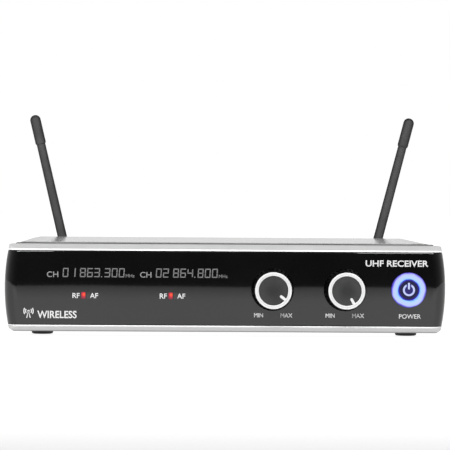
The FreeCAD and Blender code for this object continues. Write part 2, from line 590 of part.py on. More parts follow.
def mix_jack_body():
    """A 6.35 mm jack socket: square body inside, threaded nozzle out through the rear panel."""
    body = block(MIX_X - MIX_HALF_W, MIX_X + MIX_HALF_W, MIX_FLOOR - MIX_WALL, REAR_IN - GAP,
                 SOCKET_H - MIX_HALF_H, SOCKET_H + MIX_HALF_H)
    nozzle = turned([(0, REAR_IN - OVER), (MIX_NOZZLE_R, REAR_IN - OVER), (MIX_NOZZLE_R, MIX_MOUTH, 0.5),
                     (0, MIX_MOUTH)], MIX_X, SOCKET_H)
    return join(body, nozzle).cut(bar_y(MIX_X, SOCKET_H, MIX_BORE_R, MIX_FLOOR, MIX_MOUTH + OVER))


def mix_jack_nut():
    end = CASE_D + WASHER_T + MIX_NUT_T
    washer = bar_y(MIX_X, SOCKET_H, WASHER_R, CASE_D, CASE_D + WASHER_T)
    nut = hex_y(MIX_X, SOCKET_H, MIX_NUT_FLATS, CASE_D + WASHER_T, end)
    return join(nut, washer).cut(bar_y(MIX_X, SOCKET_H, MIX_NOZZLE_R + FIT, CASE_D - OVER, end + OVER))


def dc_jack_body():
    body = block(DC_X - DC_HALF_W, DC_X + DC_HALF_W, DC_FLOOR - DC_BACK, REAR_IN - GAP, BOARD_TOP, DC_TOP)
    nose = turned([(0, REAR_IN - OVER), (DC_NOSE_R, REAR_IN - OVER), (DC_NOSE_R, DC_MOUTH, LOOSE),
                   (0, DC_MOUTH)], DC_X, DC_H)
    bore = bar_y(DC_X, DC_H, DC_BORE_R, DC_FLOOR, DC_MOUTH + OVER)
    seat = bar_y(DC_X, DC_H, DC_ROOT_R + FIT, DC_FLOOR - DC_ROOT, DC_FLOOR + OVER)
    return join(body, nose).cut([bore, seat])


def dc_jack_pin():
    """The 2 mm centre pin of a 5.5 x 2.1 mm power socket, on a thicker root."""
    root = bar_y(DC_X, DC_H, DC_ROOT_R, DC_FLOOR - DC_ROOT, DC_FLOOR)
    return join(root, bar_y(DC_X, DC_H, DC_PIN_R, DC_FLOOR - OVER, DC_PIN_TIP))


def antenna_jacks():
    """Bulkhead coaxial jacks: round flange and barrel outside, threaded shank inside."""
    right = join(
        bar_y(JACK_X, JACK_H, JACK_FLANGE_R, CASE_D, CASE_D + JACK_FLANGE_T),
        bar_y(JACK_X, JACK_H, JACK_BARREL_R, CASE_D + OVER, CASE_D + JACK_BARREL_L),
        bar_y(JACK_X, JACK_H, JACK_SHANK_R, CASE_D - JACK_SHANK_L, CASE_D + OVER),
    ).cut(bar_y(JACK_X, JACK_H, JACK_BORE_R, JACK_BORE_D, CASE_D + JACK_BARREL_L + OVER))
    return group([right, mirrored(right)])


def antenna_jack_cores():
    end = JACK_BORE_D + CORE_L
    right = bar_y(JACK_X, JACK_H, CORE_R, JACK_BORE_D, end)
    right = right.cut(bar_y(JACK_X, JACK_H, CORE_BORE_R, JACK_BORE_D + FIT, end + OVER))
    return group([right, mirrored(right)])


def antenna_jack_nuts():
    end = REAR_IN - FIT
    right = hex_y(JACK_X, JACK_H, JACK_NUT_FLATS, end - JACK_NUT_T, end)
    right = right.cut(bar_y(JACK_X, JACK_H, JACK_SHANK_R + FIT, end - JACK_NUT_T - OVER, end + OVER))
    return group([right, mirrored(right)])


# ---- front controls ----
def pot_bodies():
    """Rotary pots between the fascia and the front board, bushes out through the fascia."""
    pots = []
    for x in KNOB_X.values():
        can = bar_y(x, KNOB_H, POT_R, FASCIA_T + FIT, FRONT_BOARD_D - GAP)
        bush = bar_y(x, KNOB_H, BUSH_R, BUSH_FRONT, FASCIA_T + OVER)
        pots.append(join(can, bush).cut(bar_y(x, KNOB_H, SHAFT_R + FIT, BUSH_FRONT - OVER, SHAFT_END + GAP)))
    return group(pots)


def pot_nuts():
    bores = [bar_y(x, KNOB_H, BUSH_R + FIT, BUSH_FRONT, OVER) for x in KNOB_X.values()]
    return group(hex_y(x, KNOB_H, POT_NUT_FLATS, -POT_NUT_T, 0).cut(bores) for x in KNOB_X.values())


def pot_shaft(channel):
    profile = [(0, SHAFT_FRONT), (SHAFT_R, SHAFT_FRONT, 0.4), (SHAFT_R, SHAFT_END), (0, SHAFT_END)]
    return turned(profile, KNOB_X[channel], KNOB_H)


def knob_body(channel):
    """A tapering knob with ribbed sides, hollow underneath to clear the pot's nut."""
    x, shelf, cap = KNOB_X[channel], RING_T - KNOB_PROUD, CAP_SINK - KNOB_PROUD
    cap_r, bore_r, bore_end = RING_IN - FIT, SHAFT_R + FIT, SHAFT_FRONT - 0.2
    knob = turned([
        (bore_r, KNOB_HOLLOW_D), (KNOB_HOLLOW_R, KNOB_HOLLOW_D), (KNOB_HOLLOW_R, -KNOB_GAP),
        (KNOB_BASE_R, -KNOB_GAP, 0.3), (KNOB_FRONT_R, shelf, GAP), (cap_r, shelf), (cap_r, cap, GAP), (0, cap),
        (0, bore_end), (bore_r, bore_end),
    ], x, KNOB_H)
    run = -KNOB_GAP - shelf
    lean = math.degrees(math.atan2(KNOB_BASE_R - KNOB_FRONT_R, run))
    base = V(x, back(-KNOB_GAP), up(KNOB_H + KNOB_BASE_R + GROOVE_LIFT))
    groove = Part.makeCylinder(GROOVE_R, run - 2.4, base - V(0, 1.5, 0), V(0, -1, 0))
    groove = groove.rotated(base, V(1, 0, 0), lean)
    step = 360 / KNOB_RIBS
    turns = [KNOB_DIAL[channel] + step * (i + 0.5) for i in range(KNOB_RIBS)]
    return knob.cut([about_y(groove, x, KNOB_H, turn) for turn in turns])


def knob_ring(channel):
    """The bright ring let into the knob's face, with the pointer bar that grows inward from it."""
    x, front, half = KNOB_X[channel], -KNOB_PROUD, POINTER_W / 2
    ring = turned([(RING_IN, front, LOOSE), (RING_OUT, front, LOOSE), (RING_OUT, front + RING_T),
                   (RING_IN, front + RING_T)], x, KNOB_H)
    inner, outer = KNOB_H + POINTER_IN, KNOB_H + RING_IN + 0.6
    tip = half * 0.99
    corners = [(x - half, inner, tip), (x + half, inner, tip), (x + half, outer), (x - half, outer)]
    pointer = prism("front", corners, front + CAP_SINK - POINTER_T, POINTER_T)
    return about_y(join(ring, pointer), x, KNOB_H, KNOB_DIAL[channel])


def power_light_ring():
    return turned([
        (POWER_RING_IN, POWER_RING_FACE, 0.25), (POWER_RING_OUT, POWER_RING_FACE, 0.5),
        (POWER_RING_OUT, POWER_RING_END), (POWER_RING_IN, POWER_RING_END),
    ], POWER_X, POWER_H)


def power_mark(d0, d1, grow):
    """The standby mark: an open ring with a bar in its gap."""
    ring = bar_y(POWER_X, POWER_H, MARK_OUT + grow, d0, d1)
    ring = ring.cut(bar_y(POWER_X, POWER_H, MARK_IN - grow, d0 - OVER, d1 + OVER))
    notch_half, notch_top = MARK_NOTCH - grow, POWER_H + MARK_OUT + OVER
    ring = ring.cut(block(POWER_X - notch_half, POWER_X + notch_half, d0 - OVER, d1 + OVER, POWER_H, notch_top))
    half = MARK_BAR_HALF + grow
    low, high = MARK_BAR_LOW - grow, MARK_BAR_HIGH + grow
    bar = rounded_plate(POWER_X, POWER_H + (low + high) / 2, half, (high - low) / 2, 0.4, d0, d1)
    return [ring, bar]


def power_symbol():
    return group(power_mark(POWER_CAP_FACE - 0.15, POWER_CAP_FACE + MARK_DEEP, 0))


def power_button():
    cap = turned([
        (0, POWER_CAP_FACE), (POWER_CAP_R, POWER_CAP_FACE, 0.3), (POWER_CAP_R, POWER_CAP_END),
        (STEM_R, POWER_CAP_END), (STEM_R, STEM_END, 0.3), (0, STEM_END),
    ], POWER_X, POWER_H)
    return cap.cut(power_mark(POWER_CAP_FACE - OVER, POWER_CAP_FACE + MARK_DEEP, 0.02))


def power_switch():
    half, start = 4.0, 6.0
    body = block(POWER_X - half, POWER_X + half, start, FRONT_BOARD_D, POWER_H - half, POWER_H + half)
    return body.cut(bar_y(POWER_X, POWER_H, STEM_R + 0.2, start - OVER, STEM_END + POWER_TRAVEL + 0.5))


def chip(x, height, half):
    """A small light-emitting chip on the front board."""
    return block(x - half, x + half, FRONT_BOARD_D - LED_T, FRONT_BOARD_D, height - half, height + half)


def power_leds():
    reach = (POWER_RING_IN + POWER_RING_OUT) / 2
    spots = [(reach, 0), (-reach, 0), (0, reach), (0, -reach)]
    return group(chip(POWER_X + u, POWER_H + v, 0.8) for u, v in spots)


def lens(x):
    """A light window, with a pipe that reaches back towards its chip."""
    return rounded_plate(x, LENS_H, LENS_W / 2, LENS_TALL / 2, LENS_ROUND, LENS_FACE, LENS_END)


def rf_lenses():
    return group(lens(x) for x in RF_LENS_X.values())


def af_lenses():
    return group(lens(x) for x in AF_LENS_X.values())


def signal_leds():
    return group(chip(x, LENS_H, 0.8) for x in LENS_X)


# ---- boards and wiring ----
def front_board():
    half, trim = CAVITY_HALF - 1.5, 0.5
    plate = block(-half, half, FRONT_BOARD_D, FRONT_BOARD_D + BOARD_T, CAVITY_LOW + trim, CAVITY_HIGH - trim)
    end = FRONT_BOARD_D + BOARD_T + OVER
    return plate.cut([bar_y(x, h, SCREW_R + LOOSE, FRONT_BOARD_D - OVER, end) for x, h in FRONT_BOARD_SCREWS])


def main_board():
    plate = block(-MAIN_HALF, MAIN_HALF, MAIN_START, MAIN_END, MAIN_BOARD_H, BOARD_TOP)
    tongue = block(*TONGUE_X, MAIN_END - OVER, FLANGE_D - 2 * GAP, MAIN_BOARD_H, BOARD_TOP)
    holes = [bar_z(x, d, SCREW_R + LOOSE, MAIN_BOARD_H - OVER, BOARD_TOP + OVER) for x, d in STANDOFFS]
    return join(plate, tongue).cut(holes)


def board_standoffs():
    holes = [bar_z(x, d, SCREW_R + FIT, TRAY_T + OVER, MAIN_BOARD_H + OVER) for x, d in STANDOFFS]
    return group(bar_z(x, d, STANDOFF_R, TRAY_T, MAIN_BOARD_H).cut(holes) for x, d in STANDOFFS)


def rf_shields():
    """Tinned cans over the two radio sections, open underneath."""
    (x0, x1), (d0, d1), t = CAN_X, CAN_D, CAN_T
    right = block(x0, x1, d0, d1, BOARD_TOP, CAN_TOP)
    right = right.cut(block(x0 + t, x1 - t, d0 + t, d1 - t, BOARD_TOP - OVER, CAN_TOP - t))
    return group([right, mirrored(right)])


def antenna_leads():
    """Thin coaxial leads from the jacks down into the radio cans."""
    start = CASE_D - JACK_SHANK_L
    route = [(JACK_X, start, JACK_H), (JACK_X, LEAD_DROP_D, JACK_H), (JACK_X, LEAD_DROP_D, CAN_TOP)]
    right = tube(route, LEAD_R, LEAD_BEND)
    return group([right, mirrored(right)])


def capacitors():
    """Electrolytic cans standing on the board."""
    cans = []
    for x, depth, radius, tall in CAPACITORS:
        profile = [(0, 0), (radius, 0), (radius, tall, CAPACITOR_ROUND), (0, tall)]
        cans.append(turned_z(profile, V(x, back(depth), up(BOARD_TOP))))
    return group(cans)


def ic_packages():
    return group(
        block(x - w / 2, x + w / 2, d - long / 2, d + long / 2, BOARD_TOP, BOARD_TOP + t)
        for x, d, w, long, t in PACKAGES
    )


def heat_sink():
    spine = block(SINK_X, SINK_X + SINK_SPINE, SINK_D, SINK_D + SINK_L, BOARD_TOP, SINK_TOP)
    pitch = (SINK_L - FIN_T) / (SINK_FINS - 1)
    starts = [SINK_D + pitch * i for i in range(SINK_FINS)]
    x0, x1, low = SINK_X + SINK_SPINE - GAP, SINK_X + SINK_REACH, BOARD_TOP + 2
    fins = [block(x0, x1, d, d + FIN_T, low, SINK_TOP) for d in starts]
    return join(spine, *fins)


def voltage_regulator():
    """Power regulator bolted flat to the heat sink, its three legs into the board."""
    span = (REG_D - REG_HALF, REG_D + REG_HALF)
    body = block(SINK_X - REG_T, SINK_X, *span, REG_LOW, REG_HIGH)
    tab = block(SINK_X - REG_TAB_T, SINK_X, *span, REG_HIGH - GAP, REG_TAB_HIGH)
    leg_x = SINK_X - REG_T / 2
    starts = [REG_D - LEG_W / 2 + LEG_PITCH * i for i in (-1, 0, 1)]
    legs = [block(leg_x - LEG_T, leg_x, d, d + LEG_W, BOARD_TOP, REG_LOW + GAP) for d in starts]
    return join(body, tab, *legs)


def ribbon_headers():
    half, reach = HEADER_HALF, HEADER_REACH
    front = block(-half, half, FRONT_BOARD_D + BOARD_T, HEADER_FRONT_END, RIBBON_H - reach, RIBBON_H + reach)
    main = block(-half, half, RIBBON_D - reach, RIBBON_D + reach, BOARD_TOP, HEADER_TOP)
    return group([front, main])


def ribbon_cable():
    """Flat cable out of the front header, bent down into the main board's header."""
    half, start = RIBBON_T / 2, HEADER_FRONT_END
    corners = [
        (start, RIBBON_H - half), (RIBBON_D - half, RIBBON_H - half, RIBBON_BEND - half),
        (RIBBON_D - half, HEADER_TOP), (RIBBON_D + half, HEADER_TOP),
        (RIBBON_D + half, RIBBON_H + half, RIBBON_BEND + half), (start, RIBBON_H + half),
    ]
    return prism("side", corners, -RIBBON_HALF, 2 * RIBBON_HALF)


# ---- antennas, drawn upright about their hinge axis and then put in place ----
def antenna_place(shape, side):
    """side is -1 for the left antenna and 1 for the right one."""
    shape = shape.rotated(V(0, 0, 0), V(0, 1, 0), side * ANTENNA_TILT[side])
    return shape.translated(V(side * JACK_X, back(PIVOT_D), up(JACK_H)))


def pole(axis, start, radius, length):
    return Part.makeCylinder(radius, length, V(*start), V(*axis))


def antenna_plug(side):
    """Coupling shell with a knurled grip, its bore running on the jack's barrel, and its centre contact."""
    length = PLUG_END - PLUG_START
    shell = pole((0, 1, 0), (0, PLUG_START, 0), PLUG_R, length)
    shell = shell.makeFillet(PLUG_ROUND, round_edges(shell))
    groove = pole((0, 1, 0), (0, PLUG_START + GRIP_MARGIN, GRIP_R), GRIP_DEPTH, length - 2 * GRIP_MARGIN)
    step = 360 / GRIP_GROOVES
    grooves = [groove.rotated(V(0, 0, 0), V(0, 1, 0), step * i) for i in range(GRIP_GROOVES)]
    bore = pole((0, 1, 0), (0, PLUG_START - OVER, 0), JACK_BARREL_R + PLUG_RUN, PLUG_BORE_L + OVER)
    contact = pole((0, 1, 0), (0, CONTACT_TIP, 0), CONTACT_R, CONTACT_L)
    return antenna_place(join(shell.cut(grooves + [bore]), contact), side)


def antenna_elbow(side):
    """Forked hinge block on the back of the plug."""
    base = pole((0, 1, 0), (0, PLUG_END, 0), ELBOW_R, ELBOW_BACK - PLUG_END)
    web_start, ear_t = ELBOW_BACK - 0.2, EAR_OUT - EAR_IN
    ears = []
    for x in (-EAR_OUT, EAR_IN):
        disc = pole((1, 0, 0), (x, 0, 0), KNUCKLE_R, ear_t)
        web = Part.makeBox(ear_t, -web_start, 2 * KNUCKLE_R, V(x, web_start, -KNUCKLE_R))
        ears.append(join(disc, web).common(pole((0, 1, 0), (0, 2 * ELBOW_BACK, 0), ELBOW_R, -4 * ELBOW_BACK)))
    hole = pole((1, 0, 0), (-EAR_OUT - OVER, 0, 0), PIN_R + PIN_GRIP, 2 * (EAR_OUT + OVER))
    return antenna_place(join(base, *ears).cut(hole), side)


def antenna_hinge_pin(side):
    return antenna_place(pole((1, 0, 0), (-EAR_OUT, 0, 0), PIN_R, 2 * EAR_OUT), side)


def antenna_whip(side):
    """Flat tongue in the fork, a tapering boot and the rod."""
    half = TONGUE_BODY_HALF
    tongue = join(
        pole((1, 0, 0), (-TONGUE_HALF, 0, 0), TONGUE_R, 2 * TONGUE_HALF),
        Part.makeBox(2 * TONGUE_HALF, 2 * half, BOOT_LOW + 0.6, V(-TONGUE_HALF, -half, 0)),
    ).cut(pole((1, 0, 0), (-TONGUE_HALF - OVER, 0, 0), PIN_R + PIN_RUN, 2 * (TONGUE_HALF + OVER)))
    boot = turned_z([
        (0, BOOT_LOW), (BOOT_R, BOOT_LOW, 0.5), (BOOT_R, BOOT_WAIST, 1.5), (ROD_BASE_R, ROD_START, 3),
        (ROD_TIP_R, ROD_END), (0, ROD_END),
    ])
    return antenna_place(join(tongue, boot), side)


def antenna_tip(side):
    """Rubber cap over the end of the rod."""
    start = WHIP_L - CAP_L
    return antenna_place(turned_z([
        (CAP_BORE_R, start), (CAP_LIP_R, start), (CAP_R, start + CAP_LIP_L, 0.5),
        (CAP_R, WHIP_L, CAP_R - FIT), (0, WHIP_L), (0, CAP_BORE_END), (CAP_BORE_R, CAP_BORE_END),
    ]), side)


# ---- every node, by name ----
SINGLE = [
    front_bezel, front_fascia, bezel_gasket, top_cover, chassis_tray, rear_panel, rubber_feet,
    cover_screws, rear_panel_screws, connector_screws, bezel_screws, board_screws,
    xlr_inserts, xlr_pins, mix_jack_body, mix_jack_nut, dc_jack_body, dc_jack_pin,
    antenna_jacks, antenna_jack_cores, antenna_jack_nuts,
    pot_bodies, pot_nuts, power_light_ring, power_button, power_symbol, power_switch, power_leds,
    rf_lenses, af_lenses, signal_leds, front_board, main_board, board_standoffs, rf_shields, antenna_leads,
    capacitors, ic_packages, heat_sink, voltage_regulator, ribbon_headers, ribbon_cable,
]
PER_CHANNEL = {"xlr_{}_shell": xlr_shell, "knob_{}_body": knob_body, "knob_{}_ring": knob_ring,
               "pot_{}_shaft": pot_shaft}
PER_ANTENNA = {"antenna_{}_plug": antenna_plug, "antenna_{}_elbow": antenna_elbow,
               "antenna_{}_hinge_pin": antenna_hinge_pin, "antenna_{}_whip": antenna_whip,
               "antenna_{}_tip": antenna_tip}


def all_nodes():
    shapes = {make.__name__: make() for make in SINGLE}
    for pattern, make in PER_CHANNEL.items():
        shapes.update({pattern.format(channel): make(channel) for channel in KNOB_X})
    for pattern, make in PER_ANTENNA.items():
        shapes.update({pattern.format(name): make(side) for name, side in (("left", -1), ("right", 1))})
    return shapes


os.makedirs("parts", exist_ok=True)
for name, shape in sorted(all_nodes().items()):
    if not shape.isValid() or not shape.Solids:
        raise ValueError(name + " is not a valid solid")
    shape.exportStep("parts/" + name + ".step")
    print(name, len(shape.Solids), "solids", round(shape.Volume, 1), "mm3")
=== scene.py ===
import json
import math

import bmesh
import bpy
from mathutils import Matrix, Vector


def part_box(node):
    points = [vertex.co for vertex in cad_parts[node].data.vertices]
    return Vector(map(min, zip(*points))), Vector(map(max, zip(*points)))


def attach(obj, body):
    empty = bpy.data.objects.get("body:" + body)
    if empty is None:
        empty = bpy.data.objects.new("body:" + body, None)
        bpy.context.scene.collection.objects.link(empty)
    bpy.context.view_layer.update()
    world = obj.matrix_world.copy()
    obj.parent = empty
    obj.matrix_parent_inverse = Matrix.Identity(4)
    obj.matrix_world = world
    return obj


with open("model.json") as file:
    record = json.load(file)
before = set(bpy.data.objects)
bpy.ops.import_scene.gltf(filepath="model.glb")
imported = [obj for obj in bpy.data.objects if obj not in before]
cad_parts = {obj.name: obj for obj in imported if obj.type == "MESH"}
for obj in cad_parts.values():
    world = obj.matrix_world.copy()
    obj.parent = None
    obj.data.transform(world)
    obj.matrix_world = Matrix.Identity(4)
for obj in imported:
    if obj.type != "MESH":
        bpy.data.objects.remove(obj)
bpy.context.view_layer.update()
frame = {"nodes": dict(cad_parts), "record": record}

# The looks of a two-channel wireless receiver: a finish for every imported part, the printing on its front and
# rear, and the studio it stands in. Metres, as the frame is: +X right, +Y to the rear, +Z up.

MM = 0.001

# ---- places taken from the frame ----
FASCIA_LOW, FASCIA_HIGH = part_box("front_fascia")
FRONT_Y, REAR_Y = FASCIA_LOW.y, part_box("rear_panel")[1].y


def middle(node):
    """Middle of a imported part's box."""
    low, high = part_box(node)
    return (low + high) / 2


KNOB = {channel: middle(f"pot_{channel}_shaft") for channel in ("ch1", "ch2")}
POWER = middle("power_light_ring")
LENS_HALF = 0.95 * MM                   # half the width of a signal window
SIGNAL = {"ch1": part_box("rf_lenses")[0].x + LENS_HALF, "ch2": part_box("rf_lenses")[1].x - LENS_HALF}
SIGNAL_Z = middle("rf_lenses").z
LAMP_OFF = (0.35 * MM, 0.5 * MM)        # of a signal lamp from the middle of its window
LOW_HIGHLIGHT, HIGH_HIGHLIGHT = 0.25 * MM, 0.6 * MM     # height of the bezel's painted highlights along its edges, under and over the fascia

# ---- camera ----
CAMERA_BACK = 1.2           # in front of the fascia
CAMERA_X, CAMERA_Z = -20.8 * MM, 69 * MM
CAMERA_YAW, CAMERA_PITCH, CAMERA_ROLL = (math.radians(a) for a in (0.973, 0.7455, 0.37))
CAMERA_LENS, SENSOR = 202.7, 36.0       # millimetres, as a camera's own settings are

# ---- studio ----
FLOOR_REACH = 0.645         # floor in front of the fascia; past it the black front mirrors the dark room
FLOOR_FADE = 0.22           # the floor's front strip darkens over this length
FLOOR_HALF, FLOOR_BEHIND = 4.0, 6.0
FLOOR_GLOW, FLOOR_DIM = 0.85, 0.46      # a light table: its own light, and what is left of it at the front
FLOOR_UNDER = 1.08          # how much brighter the table is from just in front of the receiver on
UNDER_START, UNDER_FULL = 0.1, 0.06     # in front of the fascia, where that starts and where it is full
FLOOR_GREY, FLOOR_DRIFT = 0.15, 0.01
KEY_STRENGTH, KEY_SPREAD = 1.2, math.radians(50)
KEY_TILT, KEY_TURN = math.radians(32), math.radians(-8)
FRONT_LIGHT_PLACE, FRONT_LIGHT_SIZE, FRONT_LIGHT_POWER = Vector((-0.3, -2.6, 1.5)), 1.8, 95.0
STRIP_PLACE, STRIP_SIZE, STRIP_POWER = Vector((0.4375, -0.95, 0.55)), (0.61, 0.34), 11.0

# ---- printing ----
INK_T, INK_SINK = 0.03 * MM, 0.01 * MM
DIGIT_W, DIGIT_H, DIGIT_STROKE, DIGIT_SLANT = 2.7 * MM, 4.3 * MM, 0.5 * MM, 0.06
DIGIT_GAP, DIGIT_POINT = 0.04 * MM, 0.2      # between segments, and how far they taper for their width
DIGIT_PITCH, BLOCK_GAP, DOT_ROOM = 3.37 * MM, 1.4 * MM, 1.55 * MM
READOUTS = {"ch1": ("01", "863", "300"), "ch2": ("02", "864", "800")}
READOUT_X = {"ch1": -77.2 * MM, "ch2": -33.1 * MM}
READOUT_Z = 28.3 * MM
CH_BEFORE = 7.4 * MM                    # from the start of CH to the channel number
SEGMENTS = {
    "0": "abcdef", "1": "i", "2": "abged", "3": "abgcd", "4": "fgbc",
    "5": "afgcd", "6": "afgcde", "7": "abc", "8": "abcdefg", "9": "abcdfg",
}
LETTERING = {                           # on the front: height, width, and how far the strokes are thickened
    "CH": (2.6 * MM, 5.4 * MM, 0.008), "MHz": (1.5 * MM, 4.2 * MM, 0.01),
    "RF": (2.35 * MM, 3.45 * MM, 0.015), "AF": (2.35 * MM, 3.9 * MM, 0.015),
    "MIN": (1.95 * MM, 4.3 * MM, 0.022), "MAX": (1.95 * MM, 5.7 * MM, 0.022),
    "POWER": (2.05 * MM, 10.4 * MM, 0.0), "UHF RECEIVER": (2.9 * MM, 29.8 * MM, 0.02),
    "WIRELESS": (3.4 * MM, 18.6 * MM, 0.02),
}
SIGNAL_LABELS = {"RF": -3.42 * MM, "AF": 5.05 * MM}     # across, from the middle of an RF window
SIGNAL_LABEL_DROP = 1.2 * MM
KNOB_LABELS = {"MIN": -6.95 * MM, "MAX": 6.3 * MM}      # across, from the middle of a knob
KNOB_LABELS_OFF = {"ch1": 0.4 * MM, "ch2": 0.0}         # both labels of a knob from those places
KNOB_LABEL_Z = 9.75 * MM
POWER_LABEL_OFF, POWER_LABEL_Z = 0.6 * MM, 9.5 * MM
TITLE_X, TITLE_Z = 81.3 * MM, 34.2 * MM
MARK_X, MARK_Z, MARK_H = -96.4 * MM, 8.9 * MM, 4.5 * MM
MARK_WORD_OFF = 7.4 * MM
REAR_LETTER, REAR_BOLD = 2.2 * MM, 0.005
REAR_BELOW, REAR_ABOVE = 5 * MM, 4 * MM     # of the labels under the antenna sockets and over the mix output


# ---- node helpers ----
MIX_FIRST, MIX_SECOND, MIX_COLOUR = 6, 7, 2     # sockets of a Mix node that mixes colours
WAVE_TURN = 20              # radians that a wave texture of scale 1 turns in a metre


def add(tree, kind, inputs=None, **settings):
    """A shader node. An input is a constant, or the socket that feeds it."""
    made = tree.nodes.new("ShaderNode" + kind)
    for name, value in settings.items():
        setattr(made, name, value)
    for name, value in (inputs or {}).items():
        if isinstance(value, bpy.types.NodeSocket):
            tree.links.new(value, made.inputs[name])
        else:
            made.inputs[name].default_value = value
    return made


def ramp(tree, factor, *stops):
    """A colour ramp of (position, colour) stops; a colour may be one grey value."""
    made = add(tree, "ValToRGB", {"Fac": factor})
    elements = made.color_ramp.elements
    while len(elements) < len(stops):
        elements.new(1.0)
    for element, (position, colour) in zip(elements, stops):
        element.position = position
        element.color = rgba(colour)
    return made.outputs["Color"]


def rgba(colour):
    """A colour, or one grey value, as a socket takes it."""
    return (*((colour,) * 3 if isinstance(colour, (int, float)) else colour), 1.0)


def scaled(tree, value, low, high, to_low=0.0, to_high=1.0):
    """Value carried from one range to another, and held at its ends."""
    inputs = {"Value": value, "From Min": low, "From Max": high, "To Min": to_low, "To Max": to_high}
    return add(tree, "MapRange", inputs).outputs["Result"]


def noise(tree, place, size, detail=2.0):
    """Noise from 0 to 1 whose features are about `size` across."""
    return add(tree, "TexNoise", {"Vector": place, "Scale": 1 / size, "Detail": detail}).outputs["Fac"]


def math_node(tree, operation, first, second):
    return add(tree, "Math", {0: first, 1: second}, operation=operation).outputs["Value"]


def mixed(tree, factor, first, second):
    """The first colour, turning into the second as the factor goes to 1."""
    inputs = {"Factor": factor, MIX_FIRST: first, MIX_SECOND: rgba(second)}
    return add(tree, "Mix", inputs, data_type="RGBA").outputs[MIX_COLOUR]


def here(tree, stretch=(1, 1, 1)):
    """The point on the piece, in metres, drawn out along the axes whose stretch is below 1."""
    place = add(tree, "TexCoord").outputs["Object"]
    return add(tree, "Mapping", {"Vector": place, "Scale": stretch}).outputs["Vector"]


def radius_from(tree, centre):
    """Distance from the front-to-back line through a point."""
    place = add(tree, "TexCoord").outputs["Object"]
    offset = add(tree, "VectorMath", {0: place, 1: centre}, operation="SUBTRACT").outputs["Vector"]
    flat = add(tree, "VectorMath", {0: offset, 1: (1, 0, 1)}, operation="MULTIPLY").outputs["Vector"]
    return add(tree, "VectorMath", {0: flat}, operation="LENGTH").outputs["Value"]


def radius_from_nearest(tree, centres):
    """Distance from the nearer of two such lines."""
    first, second = (radius_from(tree, centre) for centre in centres)
    return math_node(tree, "MINIMUM", first, second)


class Finish:
    """A material whose colour drifts over `mottle`, and whose gloss and height vary over `grain`."""

    def __init__(self, name, dark, light, rough, mottle=8 * MM, grain=0.3 * MM, relief=0.004 * MM,
                 stretch=(1, 1, 1), **constants):
        self.name = name
        self.material = bpy.data.materials.new(name + "_finish")
        self.material.use_nodes = True
        self.tree = tree = self.material.node_tree
        tree.nodes.clear()
        self.place = here(tree, stretch)
        self.shader = add(tree, "BsdfPrincipled")
        for socket, value in constants.items():
            self.shader.inputs[socket.replace("_", " ")].default_value = value
        output = add(tree, "OutputMaterial")
        tree.links.new(self.shader.outputs["BSDF"], output.inputs["Surface"])
        self.grain = noise(tree, self.place, grain)
        self.colour = ramp(tree, noise(tree, self.place, mottle, 4.0), (0.35, dark), (0.65, light))
        self.feed("Base Color", self.colour)
        self.feed("Roughness", scaled(tree, self.grain, 0.3, 0.7, *rough))
        self.raise_by(self.grain, relief)

    def feed(self, socket, value):
        self.tree.links.new(value, self.shader.inputs[socket])

    def axis(self, name):
        """One coordinate of the point on the piece."""
        return add(self.tree, "SeparateXYZ", {"Vector": self.place}).outputs[name]

    def raise_by(self, height, distance):
        """Adds relief on top of what the surface already has."""
        links = self.shader.inputs["Normal"].links
        under = {"Normal": links[0].from_socket} if links else {}
        bump = add(self.tree, "Bump", {"Height": height, "Distance": distance, **under})
        self.feed("Normal", bump.outputs["Normal"])

    def blend_in(self, factor, colour):
        """Lays a colour over the surface where the factor is 1."""
        self.colour = mixed(self.tree, factor, self.colour, colour)
        self.feed("Base Color", self.colour)

    def glow(self, colour, strength):
        self.feed("Emission Color", colour)
        self.shader.inputs["Emission Strength"].default_value = strength


# ---- finishes ----
def metal(name, dark, light, rough, **more):
    return Finish(name, dark, light, rough, Metallic=1.0, **more)


def black_gloss():
    """Piano black moulding with a slow waviness from the mould, and less shine along its bottom edge."""
    made = Finish("black_gloss", 0.0012, 0.0022, (0.015, 0.035), mottle=30 * MM, grain=0.4 * MM,
                  relief=0.00005 * MM, IOR=1.58)
    dull_to, full_from = FASCIA_LOW.z + 0.2 * MM, FASCIA_LOW.z + 0.5 * MM
    made.feed("Specular IOR Level", scaled(made.tree, made.axis("Z"), dull_to, full_from, 0.15, 0.5))
    wave = noise(made.tree, here(made.tree, (0.4, 1, 1.2)), 42 * MM, 1.0)
    made.raise_by(wave, 0.02 * MM)
    return made


def silver_plastic():
    """Silver moulding, with a painted highlight along its edges beside the fascia, painted shade greying the
    lip below it, and a painted shadow along its foot.
    """
    made = Finish("silver_plastic", 0.52, 0.565, (0.28, 0.40), mottle=12 * MM, grain=0.22 * MM,
                  relief=0.0025 * MM, Metallic=0.25)
    painted_lip_shade, painted_foot_shadow, painted_edge_highlight = 0.47, 0.12, 0.95
    fade = 0.1 * MM
    height = made.axis("Z")
    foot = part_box("front_bezel")[0].z
    # Painted shade: the lip below the fascia is greyed.
    made.blend_in(scaled(made.tree, height, FASCIA_LOW.z, FASCIA_LOW.z - fade), painted_lip_shade)
    # Painted shadow: the bezel is darkened along its foot.
    made.blend_in(scaled(made.tree, height, foot + 0.75 * MM, foot + 0.25 * MM), painted_foot_shadow)
    # Painted highlight: a near-white band along the bezel's edges just under and over the fascia.
    for edge, side, highlight_height in ((FASCIA_LOW.z, -1, LOW_HIGHLIGHT), (FASCIA_HIGH.z, 1, HIGH_HIGHLIGHT)):
        beyond = scaled(made.tree, height, edge + side * highlight_height, edge + side * (highlight_height + fade), 1, 0)
        before = scaled(made.tree, height, edge - side * 2 * fade, edge - side * fade)
        made.blend_in(math_node(made.tree, "MULTIPLY", beyond, before), painted_edge_highlight)
    return made


